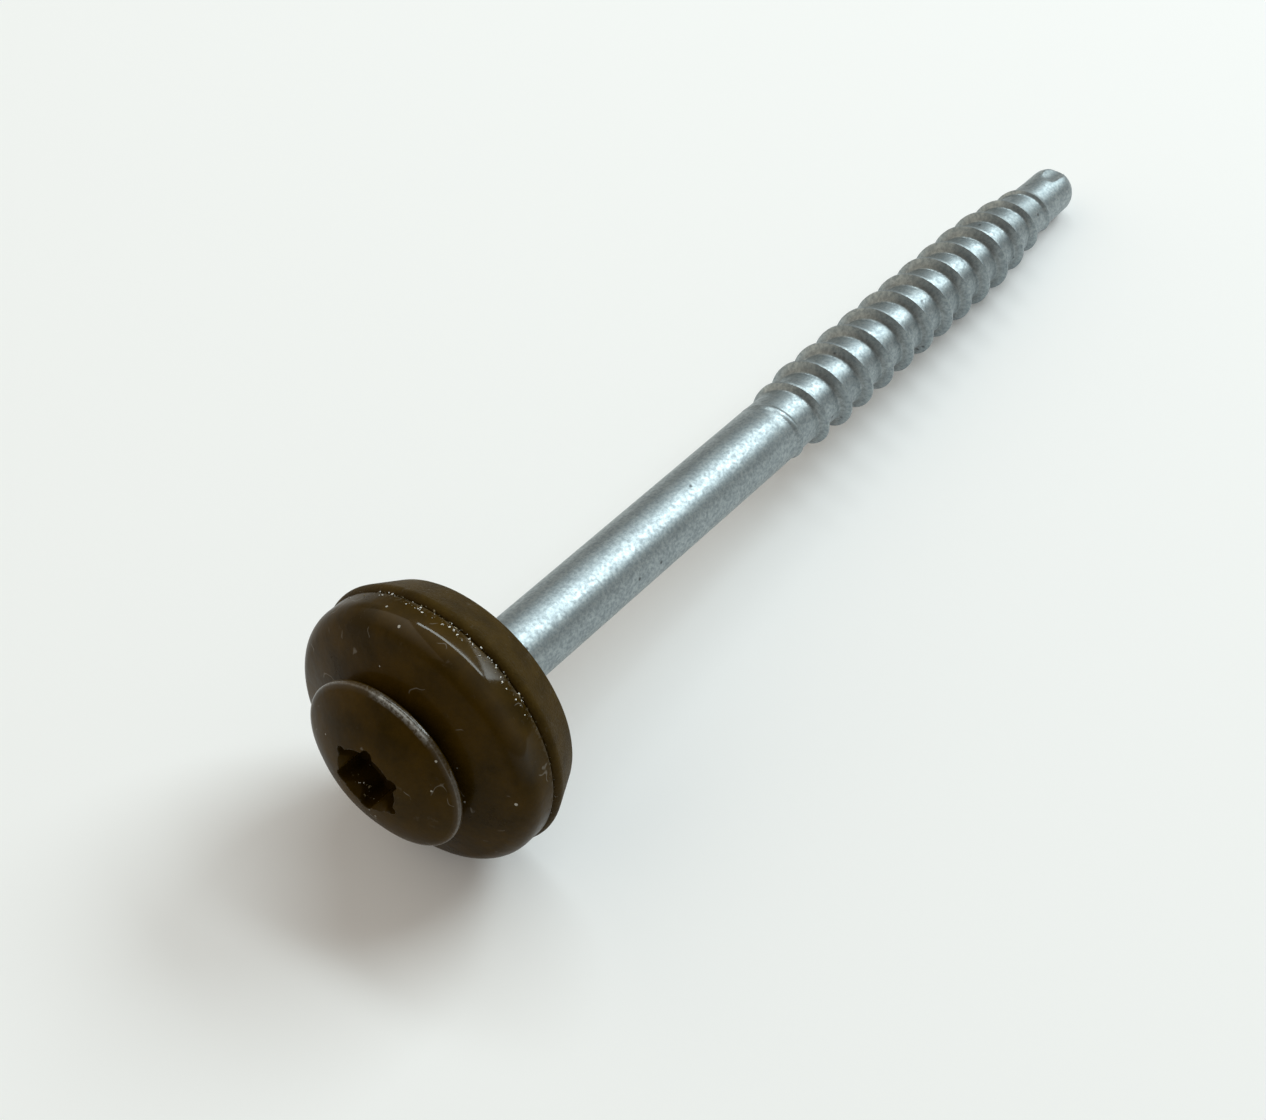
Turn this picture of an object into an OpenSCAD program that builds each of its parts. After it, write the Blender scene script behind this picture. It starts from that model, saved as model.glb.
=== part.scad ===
// Self-tapping roofing screw with a domed cap washer and a thick rubber seal.
// Every size is in millimetres. The pieces are drawn on an upright axis with
// z = 0 on the sealing face, the head below it and the tip above it, and lay()
// then puts the whole screw on the floor as it comes to rest.

/* [Head] */
// Diameter of the head over its rim
head_d = 12.8; // [10:0.01:16]
// Height of the domed face above the rim edge
head_dome_h = 1.9; // [1:0.05:2.6]
// Thickness of the rim edge
head_rim_t = 0.45; // [0.3:0.05:1]
// Height of the cone between the rim and the bearing face
head_under_h = 0.62; // [0.3:0.02:1.2]
// Diameter of the bearing face that presses on the cap
bearing_d = 9.6; // [8:0.1:11]
// Radius worn on the upper edge of the rim
head_edge_r = 0.18; // [0.1:0.01:0.25]

/* [Drive recess] */
// Six-lobe recess, point to point
recess_d = 5.6; // [4.5:0.05:6]
// Six-lobe recess, across the inner flats
recess_waist_d = 4.1; // [3.2:0.05:4.2]
// Radius of the six points
lobe_r = 0.46; // [0.35:0.01:0.6]
// Depth of the straight walls of the recess
recess_depth = 2.55; // [1.5:0.05:2.8]
// Depth of the cone at the bottom of the recess
recess_cone_h = 0.55; // [0.3:0.05:0.7]
// Diameter of the bevel round the mouth of the recess
mouth_d = 4.8; // [4.2:0.05:5.4]
// Turn of the recess about the axis
recess_turn = 3; // [0:1:59]

/* [Shank] */
// Plain shank diameter
shank_d = 5.2; // [4.6:0.05:5.6]
// Fillet under the bearing face
neck_fillet_r = 0.6; // [0.3:0.05:0.9]
// Sealing face to the first trace of thread
plain_len = 34.6; // [25:0.1:60]

/* [Thread] */
// Outer diameter of the thread
thread_d = 6.5; // [6:0.05:7]
// Root diameter between the crests
root_d = 5; // [4.2:0.02:5.1]
// Advance of the thread in one turn
pitch = 3.08; // [2.4:0.02:3.6]
// Width of the crest
crest_w = 0.26; // [0.2:0.02:0.5]
// Width of the thread where it leaves the root
thread_foot_w = 1.15; // [0.8:0.05:2]
// Length over which the thread grows to its full height
run_in_len = 7; // [3:0.1:8]
// Length of the thread at full height
full_len = 26; // [18:0.1:40]
// Length over which the thread dies away
run_out_len = 10.2; // [4:0.1:12]
// Turn of the thread about the axis
thread_turn = 85; // [0:5:355]

/* [Tip] */
// Diameter of the blunt nib
nib_d = 4.1; // [3.2:0.05:4.2]
// Length of the nib past the end of the thread
nib_len = 4.1; // [3:0.1:8]
// Height of the rounded end of the nib
nib_round_h = 1.6; // [0.6:0.05:1.8]
// Radius of the two shallow flutes in the nib
flute_r = 1.5; // [1:0.05:2]
// Depth of the two shallow flutes
flute_depth = 0.24; // [0.1:0.02:0.5]

/* [Cap washer] */
// Diameter of the cap over its wall
cap_d = 19.9; // [16:0.1:24]
// Sheet thickness of the cap
cap_t = 0.9; // [0.7:0.05:1.1]
// Height of the cap's lip above the sealing face
cap_lip_h = 3.2; // [2.4:0.1:4]
// Height of the straight wall of the cap
cap_wall_h = 1.2; // [0.8:0.05:1.8]
// Radius of the shoulder of the cap
cap_shoulder_r = 1.7; // [1.2:0.05:2.2]
// Slope of the top of the cap, in degrees
cap_slope = 20; // [12:0.5:26]
// Diameter of the flat under the head
cap_flat_d = 10.4; // [9.6:0.1:12]
// Diameter of the hole in the cap
cap_bore_d = 7.4; // [6.8:0.1:8]

/* [Rubber seal] */
// How far the seal stands out past the cap, just under the cap's lip
seal_proud = 0.2; // [0.15:0.05:0.5]
// How far the sealing face is drawn in from the cap's wall
seal_taper = 0.9; // [0.5:0.05:1.5]
// Radius of the bulge where the seal leaves the cap
seal_bulge_r = 0.5; // [0.3:0.02:0.8]
// Radius of the edge of the sealing face
seal_edge_r = 0.35; // [0.2:0.02:0.6]
// Gap between the seal and the inside of the cap wall
seal_cap_gap = 0.0; // [0:0.01:0.1]
// Depth of the flat that the soft edge takes where the screw lies on it
seal_flat = 0.1; // [0:0.01:0.15]

/* [Hidden] */

// Number of rings in one turn of the swept thread
turn_steps = 28;
// Overlap that keeps two solids of one piece joined
join = 0.02;
// Step between the threaded stretch and the shank or the nib
step = 0.05;

// Diameters of the seal at its widest and on its sealing face
seal_d = cap_d + 2 * seal_proud;
seal_face_d = cap_d - 2 * seal_taper;
// Slope of the seal's side, which touches the arcs of its edge and its bulge
side_dx = seal_proud + seal_taper - seal_bulge_r + seal_edge_r;
side_dz = cap_lip_h - seal_bulge_r - seal_edge_r;
seal_side_a = atan2(side_dz, side_dx) - acos((seal_edge_r - seal_bulge_r) / norm([side_dx, side_dz]));

// Shoulder of the cap: the arc's centre and where the slope leaves it
cap_r = cap_d / 2;
shoulder_x = cap_r - cap_shoulder_r;
shoulder_z = cap_lip_h + cap_wall_h;
slope_x = shoulder_x + cap_shoulder_r * sin(cap_slope);
slope_z = shoulder_z + cap_shoulder_r * cos(cap_slope);
// Height of the cap's flat, which the bearing face rests on
cap_top = slope_z + (slope_x - cap_flat_d / 2) * tan(cap_slope);

// Heights of the head above the sealing face
rim_low = cap_top + head_under_h;
rim_top = rim_low + head_rim_t;
head_top = rim_top + head_dome_h;
// Sphere of the domed face, and its slope where it meets the rim
dome_r = (pow(head_d / 2 - head_edge_r, 2) + pow(head_dome_h, 2)) / (2 * head_dome_h);
dome_lean = asin((head_d / 2 - head_edge_r) / dome_r);
// Height at which the bevel of the recess meets the domed face
mouth_z = head_top - dome_r + sqrt(pow(dome_r, 2) - pow(mouth_d / 2, 2));

// Scallop radius that just touches the points of the recess
lobe_x = recess_d / 2 - lobe_r;
waist_r = recess_waist_d / 2;
scallop_r = (pow(lobe_r, 2) - pow(waist_r, 2) - pow(lobe_x, 2)
    + 2 * waist_r * lobe_x * cos(30))
    / (2 * waist_r - 2 * lobe_x * cos(30) - 2 * lobe_r);
// Half angles that a point's arc and a scallop's arc cover between where they touch
side_x = (waist_r + scallop_r) * cos(30) - lobe_x;
side_y = (waist_r + scallop_r) * sin(30);
touch_a = atan2(side_y, side_x);
scallop_a = asin(lobe_x * sin(30) / (lobe_r + scallop_r));

// Stations of the thread along the axis
full_start = plain_len + run_in_len;
full_end = full_start + full_len;
thread_end = full_end + run_out_len;
tip_end = thread_end + nib_len;
root_r = root_d / 2;
nib_r = nib_d / 2;
// The threaded skin starts a turn and a half before its first trace
band_start = plain_len - 1.5 * pitch;
band_turn = thread_turn - 540;

// The screw rests on the flat of the seal's widest circle, and on the first crest or
// the nib that touches the floor as the tip comes down
turns_below = floor((thread_end - plain_len) / pitch);
seal_wide_z = -(cap_lip_h - seal_bulge_r);
seal_rest_r = seal_d / 2 - seal_flat;
lean = min([atan((seal_rest_r - nib_r) / (tip_end - nib_round_h - seal_wide_z)),
    for (k = [1:turns_below]) let (z = plain_len + (k - thread_turn / 360) * pitch)
        atan((seal_rest_r - crest_r(z)) / (z - seal_wide_z))]);
rest_h = seal_rest_r * cos(lean) + seal_wide_z * sin(lean);

// Middle of the box of the laid screw along x
low_x = -head_top * cos(lean);
high_x = tip_end * cos(lean);

// A point of a flat outline, turned about the middle
function turned(p, a) = [p[0] * cos(a) - p[1] * sin(a), p[0] * sin(a) + p[1] * cos(a)];
function ramp(v) = v < 0 ? 0 : (v > 1 ? 1 : v);
function grow(z) = pow(sin(90 * ramp((z - plain_len) / run_in_len)), 1.4);
function fade(z) = ramp((thread_end - z) / run_out_len);
// Radius of the core, a step inside the shank and a step proud of the nib
function core_r(z) = z < full_start ? shank_d / 2 - step - (shank_d / 2 - step - root_r) * ramp((z - plain_len) / run_in_len)
    : root_r - (root_r - nib_r - step) * (1 - fade(z));
// Radius of the crest at a height
function crest_r(z) = core_r(z) + (thread_d / 2 - core_r(z)) * grow(z) * fade(z);
// Width of the foot of the thread at a height
function foot_w(z) = crest_w + (thread_foot_w - crest_w) * (0.35 + 0.65 * min(grow(z), fade(z)));

// Points of the thread's profile over one turn of it: how far past the crest's
// middle, and the share of the thread's height there. Narrow crest, hollow flanks.
function profile(z) = let (w = foot_w(z) / 2, k = crest_w / 2)
    [[-k, 1], [k, 1], [k + (w - k) * 0.42, 0.32], [w, 0], [pitch - w, 0], [pitch - k - (w - k) * 0.42, 0.32]];

// One station of the threaded stretch, at step s of turn_steps to the turn
function station(s) = let (a = s * 360 / turn_steps, z = band_start + s / turn_steps * pitch)
    [for (p = profile(z)) let (h = z + p[0], r = core_r(h) + (crest_r(h) - core_r(h)) * p[1])
        [r * cos(a + band_turn), r * sin(a + band_turn), h]];

// Lays the upright screw on the floor: tip along +x, lowest points on z = 0
module lay() {
    translate([-(low_x + high_x) / 2, 0, rest_h])
        rotate([0, 90 + lean, 0])
            children();
}

// Points of an arc in a section, from angle a to angle b in n steps
function arc(x, z, r, a, b, n) = [for (i = [0:n]) [x + r * cos(a + (b - a) * i / n), z + r * sin(a + (b - a) * i / n)]];

// Half section of the head, from the bearing face to the top of the dome
module head_section() {
    polygon(concat(
        [[0, cap_top], [bearing_d / 2, cap_top], [head_d / 2 - 0.12, rim_low]],
        arc(head_d / 2 - head_edge_r, rim_top - head_edge_r, head_edge_r, 0, 90 - dome_lean, 6),
        [for (i = [1:12]) let (x = (head_d / 2 - head_edge_r) * (1 - i / 12))
            [x, head_top - dome_r + sqrt(dome_r * dome_r - x * x)]]));
}

// The six-lobe outline: a point's arc, then the scallop that touches it, six times over
module six_lobe() {
    polygon([for (i = [0:5]) each concat(
        [for (p = arc(lobe_x, 0, lobe_r, -touch_a, touch_a, 8)) turned(p, i * 60)],
        [for (k = [1:7]) let (b = scallop_a * (1 - k / 4))
            turned([waist_r + scallop_r - scallop_r * cos(b), -scallop_r * sin(b)], 30 + i * 60)])]);
}

// The recess as a cutter: straight lobed walls, a bevelled mouth and a cone at the bottom
module recess() {
    translate([0, 0, head_top - recess_depth])
        linear_extrude(height = recess_depth + 1)
            rotate(-recess_turn)
                six_lobe();
    translate([0, 0, mouth_z - 1])
        cylinder(r1 = mouth_d / 2 - 0.5, r2 = mouth_d / 2 + 0.4, h = 1.8, $fn = 64);
    translate([0, 0, head_top - recess_depth - recess_cone_h])
        cylinder(r1 = 0.3, r2 = waist_r - 0.05, h = recess_cone_h + join, $fn = 64);
}

// The neck and the plain shank
module shank() {
    translate([0, 0, -cap_top])
        cylinder(r = shank_d / 2, h = cap_top + plain_len, $fn = 64);
    translate([0, 0, -cap_top])
        cylinder(r1 = shank_d / 2 + neck_fillet_r, r2 = shank_d / 2, h = neck_fillet_r, $fn = 64);
}

// The blunt nib with a rounded end and two shallow flutes
module nib() {
    difference() {
        translate([0, 0, thread_end - 0.2])
            rotate_extrude($fn = 64)
                polygon(concat([[0, 0]],
                    [[nib_r, 0]],
                    arc(nib_r - nib_round_h, nib_len - nib_round_h + 0.2, nib_round_h, 0, 90, 8),
                    [[0, nib_len + 0.2]]));
        for (s = [-1, 1])
            translate([s * (nib_r + flute_r - flute_depth), 0, thread_end + nib_len * 0.25])
                rotate([0, -s * 7, 0])
                    cylinder(r = flute_r, h = nib_len, $fn = 48);
    }
}

// The threaded stretch, core and crest in one skin that winds up the helix.
// It starts inside the shank and is trimmed flat where the nib begins.
module threaded() {
    last = floor((thread_end - band_start) / pitch * turn_steps) + turn_steps;
    n = 6;
    t = turn_steps;
    ends = (last + 1) * n;
    foot = [for (s = [0:t]) s * n, for (j = [n - 1:-1:1]) j];
    top = [for (s = [last - t:last]) s * n + n - 1, for (j = [n - 2:-1:0]) last * n + j];
    pts = concat([for (s = [0:last]) each station(s)],
        [[0, 0, band_start + pitch / 2], [0, 0, band_start + last / t * pitch + pitch / 2]]);
    intersection() {
        polyhedron(points = pts, convexity = 10, faces = concat(
            [for (s = [0:last - 1], j = [0:n - 2])
                each [[s * n + j, s * n + j + 1, (s + 1) * n + j + 1], [s * n + j, (s + 1) * n + j + 1, (s + 1) * n + j]]],
            [for (s = [0:last - 1 - t])
                each [[s * n + n - 1, (s + t) * n, (s + t + 1) * n], [s * n + n - 1, (s + t + 1) * n, (s + 1) * n + n - 1]]],
            [for (i = [0:len(foot) - 1]) [ends, foot[i], foot[(i + 1) % len(foot)]]],
            [for (i = [0:len(top) - 1]) [ends + 1, top[(i + 1) % len(top)], top[i]]]));
        translate([-thread_d, -thread_d, plain_len - 0.2])
            cube([2 * thread_d, 2 * thread_d, thread_end - plain_len + 0.2]);
    }
}

module screw() {
    color([0.72, 0.75, 0.77])
        lay()
            union() {
                difference() {
                    rotate([180, 0, 0])
                        rotate_extrude($fn = 96)
                            head_section();
                    rotate([180, 0, 0])
                        recess();
                }
                shank();
                threaded();
                nib();
            }
}

// Outline of the cap's outer face drawn in by t, from the lip up to the flat
function cap_line(t) = concat([[cap_r - t, cap_lip_h]],
    arc(shoulder_x, shoulder_z, cap_shoulder_r - t, 0, 90 - cap_slope, 10),
    [[cap_flat_d / 2 - t * tan(cap_slope / 2), cap_top - t]]);

module cap_washer() {
    inner = cap_line(cap_t);
    color([0.16, 0.11, 0.06])
        lay()
            rotate([180, 0, 0])
                rotate_extrude($fn = 96)
                    polygon(concat(cap_line(0), [[cap_bore_d / 2, cap_top], [cap_bore_d / 2, cap_top - cap_t]],
                        [for (i = [len(inner) - 1:-1:0]) inner[i]]));
}

// The seal fills the cap, bulges out below its lip and lies flat on the floor
module rubber_seal() {
    color([0.14, 0.13, 0.11])
        difference() {
            lay()
                rotate([180, 0, 0])
                    rotate_extrude($fn = 96)
                        polygon(concat([[shank_d / 2, 0]],
                            arc(seal_face_d / 2 - seal_edge_r, seal_edge_r, seal_edge_r, -90, seal_side_a, 5),
                            arc(seal_d / 2 - seal_bulge_r, cap_lip_h - seal_bulge_r, seal_bulge_r, seal_side_a, 90, 8),
                            cap_line(cap_t + seal_cap_gap),
                            [[shank_d / 2, cap_top - cap_t - seal_cap_gap]]));
            translate([-(low_x + high_x) / 2 - seal_d, -seal_d, -1])
                cube([2 * seal_d, 2 * seal_d, 1]);
        }
}

screw();
cap_washer();
rubber_seal();
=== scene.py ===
"""Dressed model of a sealing screw: painted head and cap, rubber seal, zinc shank and thread."""
import logging
import math
from collections.abc import Callable
from dataclasses import dataclass
from enum import Enum

import bmesh
import bpy
from mathutils import Matrix, Vector, noise


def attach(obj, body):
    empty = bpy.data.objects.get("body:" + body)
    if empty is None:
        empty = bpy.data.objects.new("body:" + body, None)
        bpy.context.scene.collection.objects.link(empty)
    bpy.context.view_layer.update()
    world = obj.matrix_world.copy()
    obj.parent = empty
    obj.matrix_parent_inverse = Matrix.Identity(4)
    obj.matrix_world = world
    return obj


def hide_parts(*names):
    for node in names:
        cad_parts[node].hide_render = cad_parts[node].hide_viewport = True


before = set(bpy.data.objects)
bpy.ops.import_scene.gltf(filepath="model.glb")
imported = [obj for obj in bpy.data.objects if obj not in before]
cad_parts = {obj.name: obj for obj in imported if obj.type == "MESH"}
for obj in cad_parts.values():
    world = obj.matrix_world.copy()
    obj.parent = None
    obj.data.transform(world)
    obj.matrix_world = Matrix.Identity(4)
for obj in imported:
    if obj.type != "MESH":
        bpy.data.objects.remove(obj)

LOG = logging.getLogger("sealing_screw")
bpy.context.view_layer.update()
MM = 0.001
DENT_SCALE = 0.45

Point = tuple[float, float]
Triple = tuple[float, float, float]
Ring = list[Vector]
Socket = bpy.types.NodeSocket
Value = bpy.types.NodeSocket | float | str | tuple
Feeds = dict[str | int, Value]


class Part(Enum):
    """The pieces that the scene makes, by name."""

    HEAD = "painted_head"
    SHANK = "zinc_shank_and_thread"
    CAP = "domed_cap"
    SEAL = "thick_seal"
    FLASH = "seal_flash_and_glints"
    GRIT = "recess_grit_and_glints"


class Gloss(Enum):
    """How shiny a painted surface is, as a roughness."""

    SEMI = 0.3
    WORN = 0.42


@dataclass(frozen=True)
class ScrewSizes:
    """Sizes of the screw in millimetres, on its own upright axis with the sealing face at 0."""

    head_d: float = 12.8
    head_dome_h: float = 1.9
    head_rim_t: float = 0.45
    head_under_h: float = 0.62
    head_edge_r: float = 0.18
    bearing_d: float = 9.6
    recess_d: float = 5.6
    recess_waist_d: float = 4.1
    lobe_r: float = 0.46
    recess_depth: float = 2.55
    mouth_d: float = 4.8
    recess_turn: float = 3.0
    shank_d: float = 5.2
    plain_len: float = 34.6
    thread_d: float = 6.5
    root_d: float = 5.0
    pitch: float = 3.08
    crest_w: float = 0.26
    thread_foot_w: float = 1.15
    run_in_len: float = 7.0
    full_len: float = 26.0
    run_out_len: float = 10.2
    thread_turn: float = 85.0
    core_step: float = 0.05
    rise_power: float = 1.4
    nib_d: float = 4.1
    nib_len: float = 4.1
    nib_round_h: float = 1.6
    flute_r: float = 1.5
    flute_depth: float = 0.24
    cap_d: float = 19.9
    cap_t: float = 0.9
    cap_lip_h: float = 3.2
    cap_wall_h: float = 1.2
    cap_shoulder_r: float = 1.7
    cap_slope: float = 20.0
    cap_flat_d: float = 10.4
    cap_bore_d: float = 7.4
    seal_d: float = 20.3
    seal_face_d: float = 18.1
    seal_bulge_r: float = 0.5
    seal_edge_r: float = 0.35
    seal_flat: float = 0.1

    @property
    def cap_top(self) -> float:
        """Height of the cap's flat over the sealing face."""
        slope = math.radians(self.cap_slope)
        x = self.cap_d / 2 - self.cap_shoulder_r * (1 - math.sin(slope))
        z = self.cap_lip_h + self.cap_wall_h + self.cap_shoulder_r * math.cos(slope)
        return z + (x - self.cap_flat_d / 2) * math.tan(slope)

    @property
    def rim_low(self) -> float:
        """Height of the lower edge of the head's rim."""
        return self.cap_top + self.head_under_h

    @property
    def rim_top(self) -> float:
        """Height of the upper edge of the head's rim."""
        return self.rim_low + self.head_rim_t

    @property
    def head_top(self) -> float:
        """Height of the middle of the domed face."""
        return self.rim_top + self.head_dome_h

    @property
    def full_end(self) -> float:
        """Station where the thread's full height ends."""
        return self.plain_len + self.run_in_len + self.full_len

    @property
    def thread_end(self) -> float:
        """Station where the thread has died away."""
        return self.full_end + self.run_out_len

    @property
    def tip_end(self) -> float:
        """Station of the end of the nib."""
        return self.thread_end + self.nib_len

    def crest_r(self, z: float) -> float:
        """Radius of the solid thread's crest at a station.

        Args:
            z: Station past the sealing face.

        Returns:
            The radius in millimetres.
        """
        begun = held((z - self.plain_len) / self.run_in_len)
        left = held((self.thread_end - z) / self.run_out_len)
        inner = self.shank_d / 2 - self.core_step
        core = inner + (self.root_d / 2 - inner) * begun
        if begun == 1.0:
            core -= (self.root_d / 2 - self.nib_d / 2 - self.core_step) * (1 - left)
        return core + (self.thread_d / 2 - core) * math.sin(math.pi / 2 * begun) ** self.rise_power * left


@dataclass(frozen=True)
class LaidAxis:
    """The screw's axis as it lies on the floor, resting on the seal and the thread."""

    sizes: ScrewSizes

    def matrix(self) -> Matrix:
        """Places the upright screw, in millimetres, on the floor in metres.

        Returns:
            The matrix from the screw's own axis to the part's frame.
        """
        s = self.sizes
        wide_z = -(s.cap_lip_h - s.seal_bulge_r)
        seal_r = s.seal_d / 2 - s.seal_flat
        leans = [math.atan((seal_r - s.nib_d / 2) / (s.tip_end - s.nib_round_h - wide_z))]
        for k in range(1, math.floor((s.thread_end - s.plain_len) / s.pitch) + 1):
            z = s.plain_len + (k - s.thread_turn / 360) * s.pitch
            leans.append(math.atan((seal_r - s.crest_r(z)) / (z - wide_z)))
        lean = min(leans)
        rest_h = seal_r * math.cos(lean) + wide_z * math.sin(lean)
        middle = (s.tip_end - s.head_top) * math.cos(lean) / 2
        turn = Matrix.Rotation(math.radians(90) + lean, 4, "Y")
        return Matrix.Scale(MM, 4) @ Matrix.Translation((-middle, 0, rest_h)) @ turn


@dataclass(frozen=True)
class Spot:
    """Where a point of an upright piece is: its radius, its direction in radians and its height."""

    r: float
    turn: float
    z: float

    def facing(self, middle: float, start: float, width: float) -> float:
        """How far a spot lies within the arc round a direction.

        Args:
            middle: The arc's middle in degrees.
            start: Cosine of the angle from the middle at which the arc begins.
            width: Rise of that cosine over which the arc comes in.

        Returns:
            0 outside the arc, 1 well inside it.
        """
        return held((math.cos(self.turn - math.radians(middle)) - start) / width)


def held(value: float) -> float:
    """A number held between 0 and 1."""
    return min(1.0, max(0.0, value))


def near(value: float, edge: float, band: Point) -> float:
    """How close a number is to the middle of a band beside an edge.

    Args:
        value: The number.
        edge: Where the edge is.
        band: Offset of the band's middle from the edge, and half the band's width.

    Returns:
        1 in the band's middle, 0 outside the band.
    """
    offset, half = band
    return max(0.0, 1 - abs(value - edge - offset) / half)


def polar(r: float, turn: float, z: float) -> Vector:
    """The point at a radius, a direction in radians and a z."""
    return Vector((r * math.cos(turn), r * math.sin(turn), z))


def turns(steps: int) -> list[float]:
    """Even directions round the axis, in radians."""
    return [2 * math.pi * i / steps for i in range(steps)]


def arc(x: float, z: float, r: float, a: float, b: float, n: int) -> list[Point]:
    """Points of an arc in a half section.

    Args:
        x: Radius of the arc's centre from the axis.
        z: Height of the arc's centre.
        r: Radius of the arc.
        a: First angle in degrees.
        b: Last angle in degrees.
        n: Number of steps.

    Returns:
        The points from a to b.
    """
    angles = [math.radians(a + (b - a) * i / n) for i in range(n + 1)]
    return [(x + r * math.cos(angle), z + r * math.sin(angle)) for angle in angles]


def straight(first: Point, last: Point, n: int) -> list[Point]:
    """Points of a straight line in a half section.

    Args:
        first: Where the line starts; this point isn't among those returned.
        last: Where it ends.
        n: Number of steps.

    Returns:
        The points after the first, up to the last.
    """
    (x, z), (end_x, end_z) = first, last
    return [(x + (end_x - x) * k / n, z + (end_z - z) * k / n) for k in range(1, n + 1)]


def linked(name: str, mesh: bpy.types.Mesh) -> bpy.types.Object:
    """Makes an object for a mesh and links it to the scene."""
    piece = bpy.data.objects.new(name, mesh)
    bpy.context.scene.collection.objects.link(piece)
    return piece


def spun(name: str, rings: list[Ring], caps: tuple[Vector, Vector] | None) -> bpy.types.Object:
    """Makes a mesh from rings of equal length, each joined to the next.

    Args:
        name: Name of the new object.
        rings: The rings, each a closed loop of points.
        caps: End points that close the first and last ring, or None to join the last ring to the first.

    Returns:
        The new object, linked to the scene.
    """
    bm = bmesh.new()
    rows = [[bm.verts.new(p) for p in ring] for ring in rings]
    n = len(rows[0])
    pairs = list(zip(rows, rows[1:]))
    if caps is None:
        pairs.append((rows[-1], rows[0]))
    for low, high in pairs:
        for i in range(n):
            j = (i + 1) % n
            bm.faces.new((low[i], low[j], high[j], high[i]))
    if caps is not None:
        for row, tip in ((rows[0], caps[0]), (rows[-1], caps[1])):
            middle = bm.verts.new(tip)
            for i in range(n):
                bm.faces.new((middle, row[i], row[(i + 1) % n]))
    bmesh.ops.recalc_face_normals(bm, faces=bm.faces)
    mesh = bpy.data.meshes.new(name)
    bm.to_mesh(mesh)
    bm.free()
    mesh.shade_smooth()
    return linked(name, mesh)


def lathe(name: str, section: list[Point], steps: int, closed: bool, sink: float = 0.0) -> bpy.types.Object:
    """Turns a half section about the axis, with the head towards -z.

    Args:
        name: Name of the new object.
        section: Points as (radius, height above the sealing face), heights rising towards the head.
        steps: Number of steps round the axis.
        closed: True if the section is a closed loop clear of the axis.
        sink: Depth in millimetres of the faint unevenness pressed into the surface.

    Returns:
        The new object.
    """
    def dent(r: float, turn: float, z: float) -> float:
        """Depth of the unevenness at a point of the section."""
        return sink * 0.5 * (1 + noise.noise(polar(r, turn, z) * DENT_SCALE)) if sink else 0.0

    rings = [[polar(r - dent(r, turn, z), turn, -z) for turn in turns(steps)] for r, z in section]
    if closed:
        return spun(name, rings, None)
    return spun(name, rings, (Vector((0, 0, -section[0][1])), Vector((0, 0, -section[-1][1]))))


def sharpen(piece: bpy.types.Object, degrees: float) -> None:
    """Marks the edges sharper than an angle, so that smooth shading stops at them."""
    piece.data.set_sharp_from_angle(angle=math.radians(degrees))


def mark(piece: bpy.types.Object, name: str, value_at: Callable[[Spot], float]) -> None:
    """Writes a number for each point of an upright piece, which its finish reads.

    Args:
        piece: The piece, upright and in millimetres.
        name: Name of the attribute.
        value_at: Gives the number for a spot.
    """
    marks = piece.data.attributes.new(name, "FLOAT", "POINT")
    for vertex, item in zip(piece.data.vertices, marks.data):
        co = vertex.co
        item.value = value_at(Spot(co.xy.length, math.atan2(co.y, co.x), -co.z))


def settle(piece: bpy.types.Object, laid: Matrix) -> None:
    """Lays a finished piece on the floor, hands it to the frame and reports it.

    The soft edge of the seal, which would dip below the floor, ends flat on it.

    Args:
        piece: The piece, upright and in millimetres.
        laid: The matrix that lays it down.
    """
    piece.data.transform(laid)
    for vertex in piece.data.vertices:
        vertex.co.z = max(vertex.co.z, 0.0)
    piece.data.update()
    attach(piece, "root")
    tris = sum(len(p.vertices) - 2 for p in piece.data.polygons)
    LOG.info("%s: %d triangles", piece.name, tris)


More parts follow.
